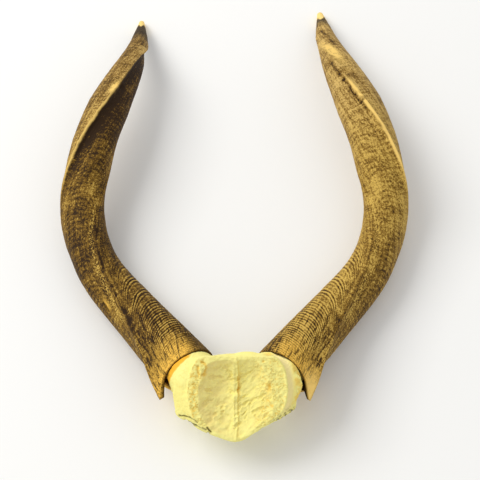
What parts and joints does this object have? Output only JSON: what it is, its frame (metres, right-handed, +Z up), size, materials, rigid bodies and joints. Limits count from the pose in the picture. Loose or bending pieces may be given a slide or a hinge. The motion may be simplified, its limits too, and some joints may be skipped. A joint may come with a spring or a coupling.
{
  "type": "nyala skull cap",
  "caption": "Sawn top of a nyala skull with its slowly spiralling, keeled and ringed horns, lying on the horns with the braincase side up.",
  "frame": {"origin": "centre of the bounding box in plan, on the surface that the horns lie on; x = 0 is the midline of the skull", "axes": "+Z up from that surface, +Y from the bone toward the horn tips, +X toward the animal's right horn"},
  "size_m": [0.4096, 0.626, 0.0934],
  "materials": {
    "bone": "dry cream bone, porous along the saw cut",
    "horn": "brown horn with growth rings, worn pale along the keels and at the tips"
  },
  "bodies": {
    "root": {"skull_cap": "bone", "left_horn": "horn", "right_horn": "horn"}
  },
  "joints": []
}
